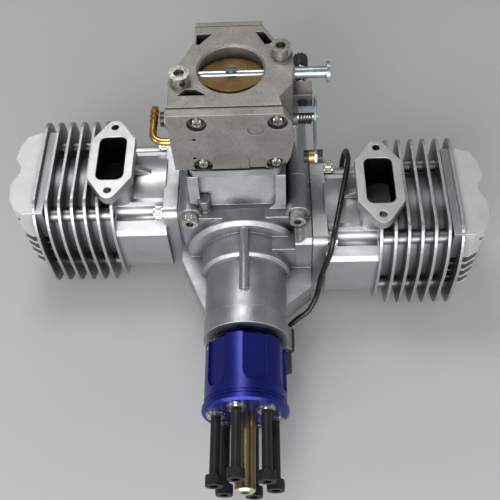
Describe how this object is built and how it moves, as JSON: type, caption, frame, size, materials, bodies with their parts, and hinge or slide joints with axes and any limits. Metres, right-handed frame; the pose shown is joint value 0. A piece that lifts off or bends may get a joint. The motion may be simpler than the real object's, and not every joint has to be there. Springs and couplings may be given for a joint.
{
  "type": "model aircraft engine",
  "caption": "Flat twin two-stroke petrol engine with finned cylinders, top carburettor with choke and throttle, blue propeller hub, ignition sensor and rear mounting posts.",
  "frame": {"origin": "centre of the four mounting holes in the rear ends of the standoff posts, on the crank axis", "axes": "+X along the cylinders to the right seen from the propeller, +Y towards the mounting plate, +Z towards the exhausts and the carburettor's throat"},
  "size_m": [0.262, 0.2242, 0.142],
  "materials": {
    "cast_case": "satin sand-cast aluminium",
    "cast_cylinder": "satin die-cast aluminium",
    "cast_carb": "warm grey die-cast alloy",
    "plate_metal": "milled aluminium",
    "post_metal": "turned aluminium",
    "screw_steel": "bright steel",
    "black_steel": "black oxide",
    "blue_hub": "satin blue anodised",
    "zinc_lever": "bluish zinc plate",
    "stud_zinc": "yellow zinc plate",
    "brass": "bright brass",
    "gasket": "black sheet",
    "reed_plastic": "dark moulded plastic",
    "crank_steel": "ground steel",
    "piston_metal": "machined aluminium",
    "ring_iron": "fine-turned iron",
    "ceramic": "glazed white ceramic",
    "black_plastic": "black moulding",
    "lead_rubber": "black rubber cable",
    "magnet_plate": "nickel plate"
  },
  "bodies": {
    "engine": {"crankcase_front": "cast_case", "crankcase_rear": "cast_case", "case_screws": "screw_steel", "standoffs": "post_metal", "case_gaskets": "gasket", "reed_cage": "reed_plastic", "reed_petals": "reed_plastic", "adapter_plate": "plate_metal", "carb_gaskets": "gasket", "carb_body": "cast_carb", "pump_cover": "cast_carb", "metering_cover": "cast_carb", "carb_cover_screws": "screw_steel", "fuel_elbow": "brass", "carb_mount_screws": "screw_steel", "throttle_spring": "screw_steel", "idle_spring": "screw_steel", "cylinder_left": "cast_cylinder", "cylinder_right": "cast_cylinder", "base_screws": "screw_steel", "plug_shells": "screw_steel", "plug_insulators": "ceramic", "bearing_outer_rings": "crank_steel", "shaft_seal": "gasket", "ignition_sensor": "black_plastic", "sensor_lead": "lead_rubber", "lead_connector": "black_plastic"},
    "crank": {"crankshaft_front": "crank_steel", "crank_centre_web": "crank_steel", "crankshaft_rear": "crank_steel", "bearing_inner_rings": "crank_steel", "prop_hub": "blue_hub", "hub_magnet": "magnet_plate", "prop_bolts": "black_steel", "prop_washers": "screw_steel", "centre_stud": "stud_zinc"},
    "ball_sets": {"bearing_balls": "crank_steel"},
    "left_piston": {"piston_left": "piston_metal", "piston_rings_left": "ring_iron", "wrist_pin_left": "crank_steel"},
    "right_piston": {"piston_right": "piston_metal", "piston_rings_right": "ring_iron", "wrist_pin_right": "crank_steel"},
    "left_rod": {"conrod_left": "crank_steel", "needle_rollers_left": "crank_steel", "crankpin_left": "crank_steel"},
    "right_rod": {"conrod_right": "crank_steel", "needle_rollers_right": "crank_steel", "crankpin_right": "crank_steel"},
    "throttle": {"throttle_shaft": "screw_steel", "throttle_plate": "brass", "throttle_screw": "zinc_lever", "throttle_lever": "zinc_lever", "throttle_link": "black_steel"},
    "choke": {"choke_shaft": "zinc_lever", "choke_plate": "brass", "choke_screw": "zinc_lever"},
    "idle": {"idle_screw": "black_plastic"}
  },
  "joints": [
    {"name": "crank_spin", "type": "hinge", "parent": "engine", "child": "crank", "pos_m": [0, -0.062, 0], "axis": [0, 1, 0], "continuous": true},
    {"name": "ball_sets_spin", "type": "hinge", "parent": "engine", "child": "ball_sets", "pos_m": [0, -0.062, 0], "axis": [0, 1, 0], "continuous": true},
    {"name": "left_piston_stroke", "type": "slide", "parent": "engine", "child": "left_piston", "axis": [-1, 0, 0], "range_m": [0, 0.0295]},
    {"name": "right_piston_stroke", "type": "slide", "parent": "engine", "child": "right_piston", "axis": [1, 0, 0], "range_m": [0, 0.0295]},
    {"name": "left_rod_swing", "type": "hinge", "parent": "left_piston", "child": "left_rod", "pos_m": [-0.04325, -0.052, 0], "axis": [0, 1, 0], "range_deg": [-14.7, 14.7]},
    {"name": "right_rod_swing", "type": "hinge", "parent": "right_piston", "child": "right_rod", "pos_m": [0.04325, -0.072, 0], "axis": [0, 1, 0], "range_deg": [-14.7, 14.7]},
    {"name": "throttle_turn", "type": "hinge", "parent": "engine", "child": "throttle", "pos_m": [0, -0.0457, 0.0645], "axis": [1, 0, 0], "range_deg": [0, 75], "stiffness_Nm_per_rad": 0.03, "springref_deg": -34.38},
    {"name": "choke_turn", "type": "hinge", "parent": "engine", "child": "choke", "pos_m": [0, -0.0457, 0.0952], "axis": [-1, 0, 0], "range_deg": [0, 76]},
    {"name": "idle_screw_turn", "type": "hinge", "parent": "engine", "child": "idle", "pos_m": [0.032, -0.032, 0.079], "axis": [0, 1, 0], "range_deg": [-180, 180]}
  ],
  "couplings": [
    {"joint": "ball_sets_spin", "follows": "crank_spin", "ratio": 0.39},
    {"joint": "right_piston_stroke", "follows": "left_piston_stroke", "ratio": 1},
    {"joint": "right_rod_swing", "follows": "left_rod_swing", "ratio": 1}
  ]
}
